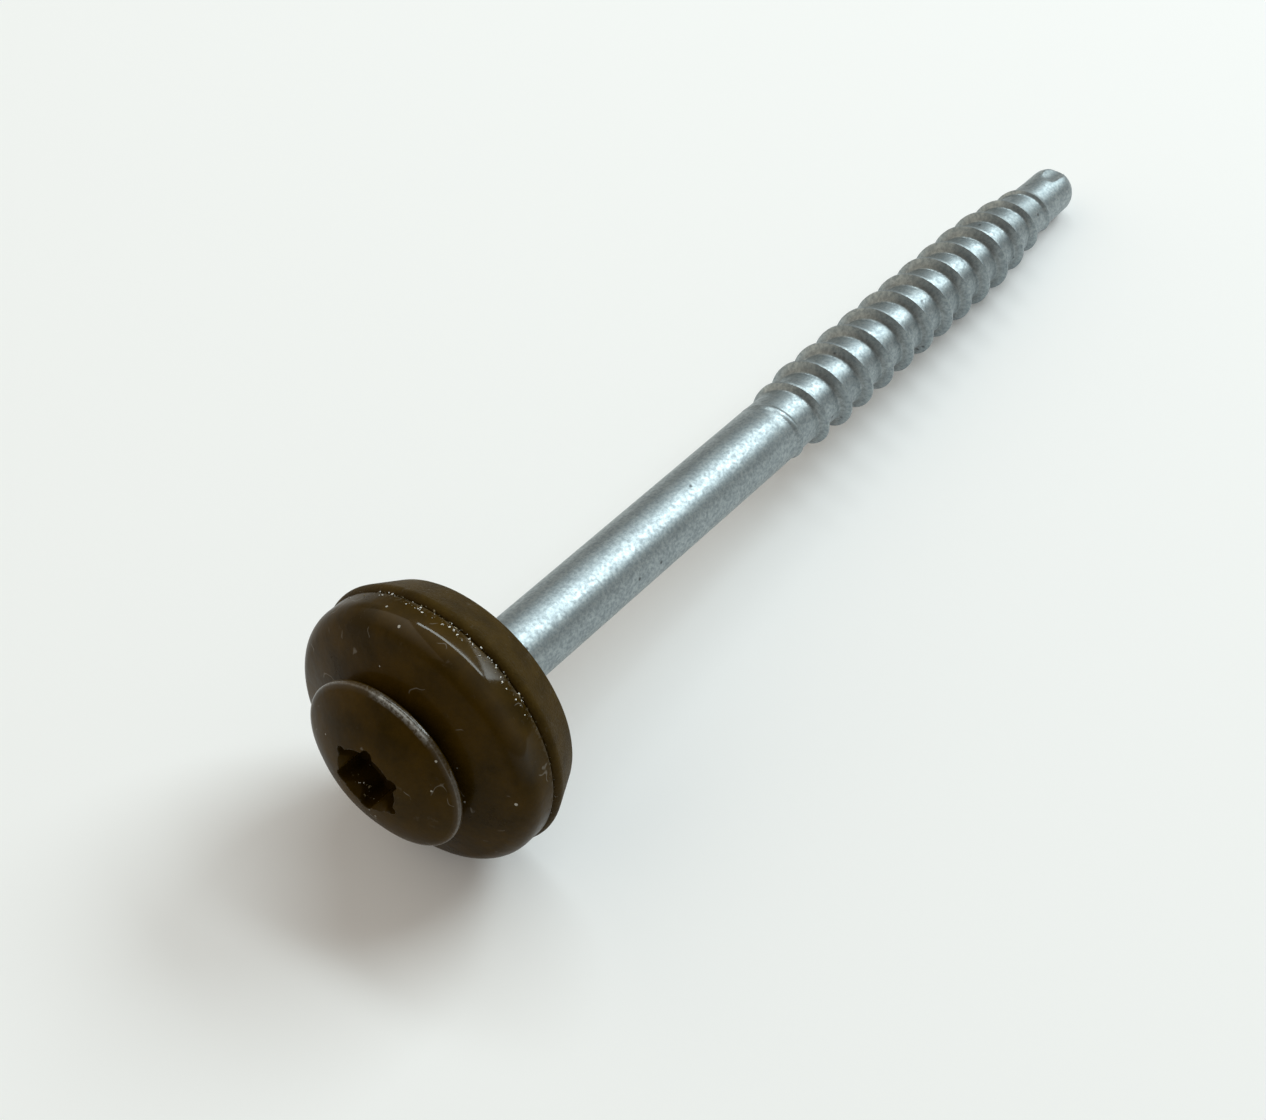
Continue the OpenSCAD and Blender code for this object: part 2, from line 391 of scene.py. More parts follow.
class Wires:
    """A short way to write a node tree."""

    def __init__(self, tree: bpy.types.NodeTree) -> None:
        """Keeps the tree that the nodes go in."""
        self.tree = tree

    def join(self, source: Value, target: Socket) -> None:
        """Links a socket to a socket, or sets a plain value on it.

        Args:
            source: The socket or the value.
            target: The input that takes it.
        """
        if isinstance(source, bpy.types.NodeSocket):
            self.tree.links.new(source, target)
        else:
            target.default_value = source

    def feed(self, node: bpy.types.Node, feeds: Feeds) -> None:
        """Feeds a node's inputs.

        Args:
            node: The node.
            feeds: A socket or a value for each input, by the input's name or number.
        """
        for key, source in feeds.items():
            self.join(source, node.inputs[key])

    def node(self, kind: str, feeds: Feeds | None = None, **settings: object) -> bpy.types.Node:
        """Adds a node.

        Args:
            kind: The node's type name.
            feeds: A socket or a value for each input, by the input's name or number.
            **settings: Properties of the node, set before its inputs.

        Returns:
            The node.
        """
        made = self.tree.nodes.new(kind)
        for key, value in settings.items():
            setattr(made, key, value)
        self.feed(made, feeds or {})
        return made

    def sum(self, operation: str, *values: Value) -> Socket:
        """The result of a Math node, from its operation and its one to three inputs."""
        return self.node("ShaderNodeMath", dict(enumerate(values)), operation=operation).outputs[0]

    def plus(self, a: Value, b: Value) -> Socket:
        """a + b."""
        return self.sum("ADD", a, b)

    def minus(self, a: Value, b: Value) -> Socket:
        """a - b."""
        return self.sum("SUBTRACT", a, b)

    def times(self, a: Value, b: Value) -> Socket:
        """a * b."""
        return self.sum("MULTIPLY", a, b)

    def vector_sum(self, operation: str, a: Value, b: Value) -> Socket:
        """The result of a Vector Math node with two vectors."""
        return self.node("ShaderNodeVectorMath", {0: a, 1: b}, operation=operation).outputs[0]

    def vector(self, x: Value = 0.0, y: Value = 0.0, z: Value = 0.0) -> Socket:
        """A vector from its three parts."""
        return self.node("ShaderNodeCombineXYZ", {"X": x, "Y": y, "Z": z}).outputs[0]

    def span(self, value: Value, low: Value, high: Value, to_low: Value = 0.0, to_high: Value = 1.0,
             smooth: bool = False) -> Socket:
        """A Map Range node that is held at its ends.

        Args:
            value: The socket or number to map.
            low: Start of the range.
            high: End of the range.
            to_low: Result at the start.
            to_high: Result at the end.
            smooth: True for a soft start and end.

        Returns:
            The result's socket.
        """
        feeds = {"Value": value, "From Min": low, "From Max": high, "To Min": to_low, "To Max": to_high}
        curve = "SMOOTHSTEP" if smooth else "LINEAR"
        return self.node("ShaderNodeMapRange", feeds, interpolation_type=curve).outputs["Result"]

    def mix(self, factor: Value, a: Value, b: Value) -> Socket:
        """Mixes two colours by a factor; 0, 6 and 7 are the colour mix's own inputs."""
        return self.node("ShaderNodeMix", {0: factor, 6: a, 7: b}, data_type="RGBA").outputs[2]

    def grain(self, place: Socket, scale: Value, detail: float = 2.0, rough: float = 0.5) -> Socket:
        """Noise at a scale per millimetre.

        Args:
            place: The place in millimetres.
            scale: The scale.
            detail: How many finer layers it has.
            rough: How strong those are.

        Returns:
            The noise's socket.
        """
        feeds = {"Vector": place, "Scale": scale, "Detail": detail, "Roughness": rough}
        return self.node("ShaderNodeTexNoise", feeds).outputs["Fac"]

    def cells(self, place: Socket, scale: Value) -> tuple[Socket, Socket, Socket]:
        """Scattered cells at a scale per millimetre.

        Args:
            place: The place in millimetres.
            scale: The scale.

        Returns:
            The distance to the nearest cell's middle, and two random numbers of that cell.
        """
        made = self.node("ShaderNodeTexVoronoi", {"Vector": place, "Scale": scale}, feature="F1")
        parts = self.node("ShaderNodeSeparateColor", {0: made.outputs["Color"]})
        return made.outputs["Distance"], parts.outputs[0], parts.outputs[1]

    def mark(self, name: str) -> Socket:
        """The number that a piece's points carry under a name."""
        return self.node("ShaderNodeAttribute", attribute_name=name).outputs["Fac"]


def new_group(name: str, inputs: dict[str, float], outputs: tuple[str, ...]) -> Wires:
    """Starts a shader node group.

    Args:
        name: The group's name.
        inputs: Number inputs with their defaults, after the Place vector.
        outputs: Number outputs.

    Returns:
        The wires of the new group.
    """
    group = bpy.data.node_groups.new(name, "ShaderNodeTree")
    group.interface.new_socket("Place", in_out="INPUT", socket_type="NodeSocketVector")
    for key, value in inputs.items():
        socket = group.interface.new_socket(key, in_out="INPUT", socket_type="NodeSocketFloat")
        socket.default_value = value
    for key in outputs:
        group.interface.new_socket(key, in_out="OUTPUT", socket_type="NodeSocketFloat")
    return Wires(group)


def dust_group() -> bpy.types.NodeTree:
    """Small pale specks, short smears and curling hairline scratches, as masks.

    Returns:
        The group, with the outputs Specks, Smears and Scratches.
    """
    w = new_group("dust_and_smears", {"Speck scale": 1.1, "Speck size": 0.09, "Smear level": 0.66},
                  ("Specks", "Smears", "Scratches"))
    get = w.node("NodeGroupInput").outputs
    place = get["Place"]
    distance, chance, share = w.cells(place, get["Speck scale"])
    dusty_side = w.sum("GREATER_THAN", w.grain(place, 0.35), 0.47)
    chosen = w.times(dusty_side, w.sum("GREATER_THAN", chance, 0.5))
    dots = w.span(w.minus(distance, w.times(get["Speck size"], share)), 0.03, 0.0)
    smear = w.minus(w.grain(place, 0.9, detail=5.0, rough=0.7), get["Smear level"])
    line = w.sum("ABSOLUTE", w.minus(w.grain(place, 0.42, detail=1.5), 0.5))
    short = w.span(w.grain(place, 0.8, detail=0.0), 0.67, 0.72)
    w.node("NodeGroupOutput", {"Specks": w.times(dots, chosen), "Smears": w.span(smear, 0.0, 0.12),
                               "Scratches": w.times(w.span(line, 0.009, 0.003), short)})
    return w.tree


def pits_group() -> bpy.types.NodeTree:
    """The mottled skin of zinc plate or moulded rubber, with a few pits.

    Returns:
        The group, with the outputs Mottle, Fine and Pits.
    """
    w = new_group("mottle_and_pits", {"Mottle scale": 1.6, "Fine scale": 9.0, "Pit scale": 1.4},
                  ("Mottle", "Fine", "Pits"))
    get = w.node("NodeGroupInput").outputs
    place = get["Place"]
    distance, chance, _ = w.cells(place, get["Pit scale"])
    few = w.sum("GREATER_THAN", chance, 0.82)
    w.node("NodeGroupOutput", {"Mottle": w.grain(place, get["Mottle scale"], detail=4.0, rough=0.65),
                               "Fine": w.grain(place, get["Fine scale"], detail=3.0, rough=0.65),
                               "Pits": w.times(w.span(distance, 0.16, 0.05), few)})
    return w.tree


def tinted(colour: Triple, by: Triple) -> Triple:
    """A colour with each part scaled."""
    return colour[0] * by[0], colour[1] * by[1], colour[2] * by[2]


@dataclass(frozen=True)
class Layer:
    """A colour that lies over a finish where its mask says, and the share of the mask that covers."""

    share: float
    colour: Triple


@dataclass(frozen=True)
class Finish:
    """What every finish has: a name, the two shared effects and a mottled base colour."""

    name: str
    dust: bpy.types.NodeTree
    pits: bpy.types.NodeTree
    base: Triple = (0.5, 0.5, 0.5)
    dark_by: Triple = (0.75, 0.75, 0.75)
    light_by: Triple = (1.3, 1.3, 1.3)
    mottle_span: Point = (0.3, 0.7)
    grain_span: Point = (0.3, 0.7)

    def start(self) -> tuple[bpy.types.Material, Wires, bpy.types.Node, Socket]:
        """A new material with its shader.

        Returns:
            The material, its wires, the shader and the place in millimetres.
        """
        material = bpy.data.materials.new(self.name)
        material.use_nodes = True
        w = Wires(material.node_tree)
        shader = material.node_tree.nodes["Principled BSDF"]
        metres = w.node("ShaderNodeTexCoord").outputs["Object"]
        mapping = w.node("ShaderNodeMapping", {"Scale": (1 / MM, 1 / MM, 1 / MM), "Vector": metres})
        return material, w, shader, mapping.outputs["Vector"]

    def effect(self, w: Wires, group: bpy.types.NodeTree, place: Socket,
               values: dict[str, float]) -> dict[str, Socket]:
        """Places a shared effect with its own values.

        Args:
            w: The material's wires.
            group: The effect.
            place: The place in millimetres.
            values: Values of its inputs.

        Returns:
            The effect's outputs by name.
        """
        made = w.node("ShaderNodeGroup", {"Place": place, **values}, node_tree=group)
        return {output.name: output for output in made.outputs}

    def tone(self, w: Wires, mottle: Socket) -> Socket:
        """The base colour, a little darker and lighter with the mottle."""
        dark, light = tinted(self.base, self.dark_by), tinted(self.base, self.light_by)
        return w.mix(w.span(mottle, *self.mottle_span), (*dark, 1.0), (*light, 1.0))

    def layered(self, w: Wires, tone: Socket, layers: list[tuple[Socket, Layer]]) -> Socket:
        """Lays colours over a tone, one after the other.

        Args:
            w: The material's wires.
            tone: The colour below.
            layers: Each layer with its mask.

        Returns:
            The colour of all the layers.
        """
        for mask, layer in layers:
            tone = w.mix(w.times(mask, layer.share), tone, (*layer.colour, 1.0))
        return tone

    def bump(self, w: Wires, height: Socket, depth_mm: float) -> Socket:
        """A normal that follows a height, at a depth in millimetres."""
        made = w.node("ShaderNodeBump", {"Strength": 1.0, "Distance": depth_mm * MM, "Height": height})
        return made.outputs["Normal"]


@dataclass(frozen=True)
class BrownPaint(Finish):
    """Semi-gloss dark brown paint with dust, smears, worn edges and a painted glint where a piece marks one.
    """

    base: Triple = (0.037, 0.0205, 0.0017)
    dark_by: Triple = (0.7, 0.7, 0.7)
    light_by: Triple = (1.35, 1.3, 1.2)
    mottle_span: Point = (0.35, 0.65)
    gloss: Gloss = Gloss.SEMI
    worn: Layer = Layer(share=0.55, colour=(0.16, 0.145, 0.12))
    smears: Layer = Layer(share=0.16, colour=(0.22, 0.2, 0.17))
    scratches: Layer = Layer(share=0.45, colour=(0.22, 0.2, 0.17))
    # Painted highlight: a pale streak that stands in for the glint on one arc of the head's rim.
    painted_glint: Layer = Layer(share=1.0, colour=(0.8, 0.83, 0.83))
    specks: Layer = Layer(share=0.9, colour=(0.5, 0.48, 0.43))
    coat: Point = (0.02, 0.06)
    polished_coat: float = 0.9
    smeared_rough: float = 0.25

    def build(self) -> bpy.types.Material:
        """Makes the paint.

        Returns:
            The material.
        """
        material, w, shader, place = self.start()
        dust = self.effect(w, self.dust, place, {"Speck scale": 0.9, "Speck size": 0.1, "Smear level": 0.64})
        skin = self.effect(w, self.pits, place, {"Mottle scale": 0.35, "Fine scale": 4.0, "Pit scale": 0.7})
        broken = w.span(w.plus(w.mark("wear"), w.times(skin["Fine"], 0.9)), low=1.0, high=1.45)
        # Painted glint: where the head marks one arc of its rim, broken by fine noise.
        band_mask = w.times(w.mark("painted_glint"), w.span(skin["Fine"], low=0.42, high=0.56, to_low=0.25))
        colour = self.layered(w, self.tone(w, skin["Mottle"]), [
            (broken, self.worn), (dust["Smears"], self.smears), (dust["Scratches"], self.scratches),
            (band_mask, self.painted_glint), (dust["Specks"], self.specks)])
        gloss = self.gloss.value
        rough = w.span(skin["Mottle"], *self.grain_span, to_low=gloss - 0.05, to_high=gloss + 0.08)
        coat = w.span(skin["Fine"], *self.grain_span, *self.coat)
        uneven = w.times(w.grain(place, 1.1, detail=1.0), 0.35)
        height = w.plus(uneven, w.plus(w.times(skin["Fine"], 0.12), dust["Specks"]))
        w.feed(shader, {
            "Base Color": colour, "Roughness": w.plus(rough, w.times(dust["Smears"], self.smeared_rough)),
            "Specular IOR Level": 0.04, "Specular Tint": (1.0, 0.72, 0.34, 1.0),
            "Coat Weight": w.plus(coat, w.times(w.mark("polish"), self.polished_coat)),
            "Coat Roughness": 0.09, "Normal": self.bump(w, height, depth_mm=0.06)})
        return material


@dataclass(frozen=True)
class ZincPlate(Finish):
    """Satin zinc plate, mottled, with a few dark pits and painted shade in the thread's hollows."""

    base: Triple = (0.36, 0.405, 0.415)
    dark_by: Triple = (0.88, 0.89, 0.9)
    light_by: Triple = (1.12, 1.12, 1.12)
    mottle_span: Point = (0.32, 0.68)
    spangle_by: Triple = (0.55, 0.57, 0.6)
    spangle_share: float = 0.75
    # Painted shade: darkens the thread's flanks where the hollow mark says.
    hollow_shade: Layer = Layer(share=0.4, colour=(0.11, 0.095, 0.075))
    dark_pits: Layer = Layer(share=0.8, colour=(0.05, 0.05, 0.055))
    rough: Point = (0.38, 0.52)

    def build(self) -> bpy.types.Material:
        """Makes the zinc.

        Returns:
            The material.
        """
        material, w, shader, place = self.start()
        skin = self.effect(w, self.pits, place, {"Mottle scale": 0.8, "Fine scale": 3.6, "Pit scale": 0.8})
        spangle = Layer(self.spangle_share, tinted(self.base, self.spangle_by))
        colour = self.layered(w, self.tone(w, skin["Mottle"]), [
            (w.span(skin["Fine"], low=0.36, high=0.64), spangle), (w.mark("hollow"), self.hollow_shade),
            (skin["Pits"], self.dark_pits)])
        raised = w.plus(w.times(skin["Fine"], 0.35), w.times(skin["Mottle"], 0.4))
        height = w.minus(raised, w.times(skin["Pits"], 0.8))
        w.feed(shader, {
            "Base Color": colour, "Metallic": 0.92,
            "Roughness": w.span(skin["Fine"], *self.grain_span, *self.rough),
            "Normal": self.bump(w, height, depth_mm=0.035)})
        return material


@dataclass(frozen=True)
class DarkRubber(Finish):
    """Matte grey-brown rubber with a fine moulded grain and pale scuffs; crumbs marked pale are painted
    glints.
    """

    base: Triple = (0.042, 0.0245, 0.0045)
    light_by: Triple = (1.3, 1.3, 1.25)
    scuffs: Layer = Layer(share=0.2, colour=(0.2, 0.185, 0.16))
    specks: Layer = Layer(share=0.5, colour=(0.3, 0.28, 0.25))
    # Painted highlight: crumbs marked pale take this colour as glints.
    pale: Layer = Layer(share=1.0, colour=(0.8, 0.82, 0.8))
    rough: Point = (0.46, 0.64)
    shine: float = 0.06

    def build(self) -> bpy.types.Material:
        """Makes the rubber.

        Returns:
            The material.
        """
        material, w, shader, place = self.start()
        dust = self.effect(w, self.dust, place, {"Speck scale": 1.3, "Speck size": 0.08, "Smear level": 0.6})
        skin = self.effect(w, self.pits, place, {"Mottle scale": 0.7, "Fine scale": 6.0, "Pit scale": 1.1})
        colour = self.layered(w, self.tone(w, skin["Mottle"]), [
            (dust["Smears"], self.scuffs), (dust["Specks"], self.specks), (w.mark("pale"), self.pale)])
        height = w.plus(skin["Fine"], w.times(skin["Mottle"], 0.8))
        w.feed(shader, {
            "Base Color": colour, "Roughness": w.span(skin["Fine"], *self.grain_span, *self.rough),
            "Specular IOR Level": self.shine, "Specular Tint": (1.0, 0.8, 0.5, 1.0),
            "Normal": self.bump(w, height, depth_mm=0.05)})
        return material


@dataclass
class PaintedHead:
    """The low domed head with its six-lobe recess.

    Lengths are in millimetres. A band is its offset from an edge and half its width.

    Attributes:
        sizes: The screw's sizes.
        paint: The head's material.
        steps: Steps round the axis.
        cone_share: Radius of the cone's ring, as a share of the recess's.
        cone_side_h: Depth of that ring below the recess's floor.
        cone_h: Depth of the cone's point below the floor.
        floor_ring: Scale and offset of the ring at the floor.
        foot_h: Height of the wall's foot over the floor.
        wall_in: How far the wall stands in at its foot.
        wall_rings: Steps up the wall.
        bevel_room: How much lower the wall is than the recess is deep.
        bevel_drops: Depths of the rings of the mouth's bevel.
        lip_rings: How far outside the mouth the rings of its lip are.
        lip_w: Distance from the recess's points to the next ring of the dome.
        low_edge_r: Radius of the rim's lower edge.
        hidden_share: Radius of the ring under the head, as a share of the shank's.
        most_wear: The greatest wear.
        low_rim_wear: Share of the rim's wear on its lower edge.
        rim_h: Height of the lower edge, over which the rim is fully worn.
        mouth_h: Depth down to which the mouth is worn.
        rim_band: Band of wear beside the head's greatest radius.
        mouth_band: Band of wear beside the recess's mouth.
        glint_band: Band of the painted glint beside the head's greatest radius.
    """

    sizes: ScrewSizes
    paint: bpy.types.Material
    steps: int = 288
    cone_share: float = 0.55
    cone_side_h: float = 0.35
    cone_h: float = 0.45
    floor_ring: Point = (0.97, -0.03)
    foot_h: float = 0.08
    wall_in: float = 0.02
    wall_rings: int = 5
    bevel_room: float = 1.5
    bevel_drops: tuple[float, ...] = (1.02, 0.9, 0.79, 0.68, 0.57, 0.46)
    lip_rings: Point = (0.03, 0.09)
    lip_w: float = 0.35
    low_edge_r: float = 0.12
    hidden_share: float = 0.7
    most_wear: float = 0.85
    low_rim_wear: float = 0.3
    rim_h: float = 0.1
    mouth_h: float = 0.48
    rim_band: Point = (-0.05, 0.18)
    mouth_band: Point = (0.04, 0.09)
    glint_band: Point = (-0.1, 0.11)

    @property
    def dome_edge(self) -> float:
        """Radius at which the dome meets the rounded rim."""
        return self.sizes.head_d / 2 - self.sizes.head_edge_r

    @property
    def dome_r(self) -> float:
        """Radius of the dome's sphere."""
        return (self.dome_edge ** 2 + self.sizes.head_dome_h ** 2) / (2 * self.sizes.head_dome_h)

    def dome(self, r: float) -> float:
        """Height of the domed face at a radius."""
        return self.sizes.head_top - self.dome_r + math.sqrt(self.dome_r ** 2 - r ** 2)

    def lobe_radius(self, angle: float) -> float:
        """Radius of the six-lobe outline in a direction.

        Args:
            angle: Direction in degrees.

        Returns:
            The radius in millimetres.
        """
        s = self.sizes
        c, waist, re = s.recess_d / 2 - s.lobe_r, s.recess_waist_d / 2, s.lobe_r
        cos30 = math.cos(math.radians(30))
        ri = (re ** 2 - waist ** 2 - c ** 2 + 2 * waist * c * cos30) / (2 * waist - 2 * c * cos30 - 2 * re)
        a = math.radians((angle - s.recess_turn + 30) % 60 - 30)
        under = re ** 2 - (c * math.sin(a)) ** 2
        d = waist + ri
        b = math.radians(30) - abs(a)
        other = ri ** 2 - (d * math.sin(b)) ** 2
        lobe = c * math.cos(a) + math.sqrt(under) if under > 0 else 0.0
        scallop = d * math.cos(b) - math.sqrt(other) if other > 0 else math.inf
        return min(max(lobe, waist), scallop) if lobe > 0 else scallop

    def lobed_ring(self, scale: float, add: float, z: float | None) -> Ring:
        """A ring that follows the six-lobe outline, or the bevelled mouth where that is wider.

        Args:
            scale: What the radius is scaled by.
            add: What is then added to it.
            z: Height of the ring, or None for a ring on the domed face.

        Returns:
            The ring.
        """
        mouth_r = self.sizes.mouth_d / 2
        bevel = mouth_r if z is None else mouth_r + (z - self.dome(mouth_r)) / 2
        ring = []
        for i in range(self.steps):
            degrees = 360 * i / self.steps
            r = max(self.lobe_radius(degrees), bevel) * scale + add
            ring.append(polar(r, math.radians(degrees), -(self.dome(r) if z is None else z)))
        return ring

    def recess(self) -> list[Ring]:
        """The recess from its coned bottom to the rounded lip of its mouth.

        Returns:
            The rings.
        """
        s = self.sizes
        floor = s.head_top - s.recess_depth
        wall_h = s.recess_depth - self.bevel_room
        stations = [(self.cone_share, 0.0, floor - self.cone_side_h), (*self.floor_ring, floor)]
        for k in range(self.wall_rings + 1):
            up = k / self.wall_rings
            stations.append((1.0, -self.wall_in * (1 - up), floor + self.foot_h + wall_h * up))
        stations += [(1.0, 0.0, s.head_top - drop) for drop in self.bevel_drops]
        stations += [(1.0, add, None) for add in self.lip_rings]
        return [self.lobed_ring(*station) for station in stations]

    def outside(self) -> list[Point]:
        """Half section of the head from the lip of the recess over the rim to the underside.

        Returns:
            The points.
        """
        s = self.sizes
        start, edge = s.recess_d / 2 + self.lip_w, self.dome_edge
        lean = math.degrees(math.asin(edge / self.dome_r))
        low_r = self.low_edge_r
        radii = [start + (edge - start) * k / 12 for k in range(13)]
        section = [(r, self.dome(r)) for r in radii]
        section += arc(edge, s.rim_top - s.head_edge_r, s.head_edge_r, 90 - lean, 0, 8)[1:]
        section += arc(s.head_d / 2 - low_r, s.rim_low + low_r, low_r, 0, -80, 4)
        return section + [(s.bearing_d / 2, s.cap_top), (s.shank_d / 2 * self.hidden_share, s.cap_top)]

    def build(self) -> bpy.types.Object:
        """Builds the head as one closed skin.

        Returns:
            The head.
        """
        s = self.sizes
        rings = self.recess()
        rings += [[polar(r, turn, -z) for turn in turns(self.steps)] for r, z in self.outside()]
        bottom = s.head_top - s.recess_depth - self.cone_h
        head = spun(Part.HEAD.value, rings, (Vector((0, 0, -bottom)), Vector((0, 0, -s.cap_top))))
        mark(head, "wear", lambda spot: self.most_wear * max(self.rim_wear(spot), self.mouth_wear(spot)))
        mark(head, "polish", self.rim_wear)
        # Painted highlight on one arc of the rim's edge.
        mark(head, "painted_glint", self.painted_glint_at)
        head.data.materials.append(self.paint)
        sharpen(head, degrees=38)
        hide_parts("screw")
        return head

    def on_rim(self, spot: Spot) -> bool:
        """True above the lowest line of the rim."""
        return spot.z > self.sizes.rim_low + self.rim_h

    def rim_wear(self, spot: Spot) -> float:
        """How worn the rim's edge is at a spot."""
        worn = near(spot.r, self.sizes.head_d / 2, self.rim_band)
        return worn * (1.0 if self.on_rim(spot) else self.low_rim_wear)

    def mouth_wear(self, spot: Spot) -> float:
        """How worn the edge of the recess's mouth is at a spot.

        Args:
            spot: Where on the head.

        Returns:
            The wear.
        """
        s = self.sizes
        if spot.z <= s.head_top - self.mouth_h:
            return 0.0
        edge = max(self.lobe_radius(math.degrees(spot.turn)), s.mouth_d / 2)
        return near(spot.r, edge, self.mouth_band)

    def painted_glint_at(self, spot: Spot) -> float:
        """How strong the painted glint is at a spot: on one arc of the rim's edge.

        Args:
            spot: Where on the head.

        Returns:
            The strength of the painted glint.
        """
        if not self.on_rim(spot):
            return 0.0
        edge = near(spot.r, self.sizes.head_d / 2, self.glint_band)
        return edge * spot.facing(middle=196, start=0.9, width=0.07)


class SkinNodes:
    """A geometry node tree with named inputs that makes one piece."""

    def __init__(self, name: str, numbers: dict[str, float], finish: bpy.types.Material) -> None:
        """Starts the tree with its inputs and one geometry output.

        Args:
            name: The tree's name.
            numbers: The number inputs and their values.
            finish: The piece's material.
        """
        self.tree = bpy.data.node_groups.new(name, "GeometryNodeTree")
        self.wires = Wires(self.tree)
        self.values = {**numbers, "Finish": finish}
        for key in self.values:
            kind = "NodeSocketMaterial" if key == "Finish" else "NodeSocketFloat"
            self.tree.interface.new_socket(key, in_out="INPUT", socket_type=kind)
        self.tree.interface.new_socket("Geometry", in_out="OUTPUT", socket_type="NodeSocketGeometry")
        self.source = self.wires.node("NodeGroupInput")

    def get(self, key: str) -> Socket:
        """The socket of a named input."""
        return self.source.outputs[key]

    def place(self) -> bpy.types.bpy_prop_collection:
        """The X, Y and Z of each point's place."""
        at = self.wires.node("GeometryNodeInputPosition").outputs[0]
        return self.wires.node("ShaderNodeSeparateXYZ", {0: at}).outputs

    def chance(self, seed: int) -> Socket:
        """A random number between 0 and 1 for each point."""
        return self.wires.node("FunctionNodeRandomValue", {"Seed": seed}, data_type="FLOAT").outputs[1]

    def random_vector(self, seed: int, low: Triple, high: Triple) -> Socket:
        """A random vector between two vectors for each point."""
        feeds = {"Seed": seed, "Min": low, "Max": high}
        return self.wires.node("FunctionNodeRandomValue", feeds, data_type="FLOAT_VECTOR").outputs[0]

    def stored(self, geometry: Socket, name: str, value: Socket) -> Socket:
        """The geometry with a number stored on its points.

        Args:
            geometry: The geometry.
            name: Name of the attribute.
            value: The number.

        Returns:
            The geometry that carries it.
        """
        feeds = {"Geometry": geometry, "Name": name, "Value": value}
        made = self.wires.node("GeometryNodeStoreNamedAttribute", feeds, data_type="FLOAT", domain="POINT")
        return made.outputs["Geometry"]

    def end(self, geometry: Socket) -> None:
        """Ends the tree in Realize Instances and Set Material."""
        w = self.wires
        real = w.node("GeometryNodeRealizeInstances", {"Geometry": geometry}).outputs["Geometry"]
        dress = w.node("GeometryNodeSetMaterial", {"Geometry": real, "Material": self.get("Finish")})
        w.node("NodeGroupOutput", {"Geometry": dress.outputs["Geometry"]})

    def baked(self, name: str) -> bpy.types.Object:
        """Runs the tree and returns its result as a plain mesh.

        Args:
            name: Name of the new object.

        Returns:
            The new object.
        """
        carrier = linked(name + "_carrier", bpy.data.meshes.new(name + "_carrier"))
        modifier = carrier.modifiers.new(self.tree.name, "NODES")
        modifier.node_group = self.tree
        for item in self.tree.interface.items_tree:
            if item.in_out == "INPUT":
                modifier[item.identifier] = self.values[item.name]
        graph = bpy.context.evaluated_depsgraph_get()
        mesh = bpy.data.meshes.new_from_object(carrier.evaluated_get(graph), depsgraph=graph)
        carrier.modifiers.remove(modifier)
        bpy.data.objects.remove(carrier)
        mesh.name = name
        return linked(name, mesh)


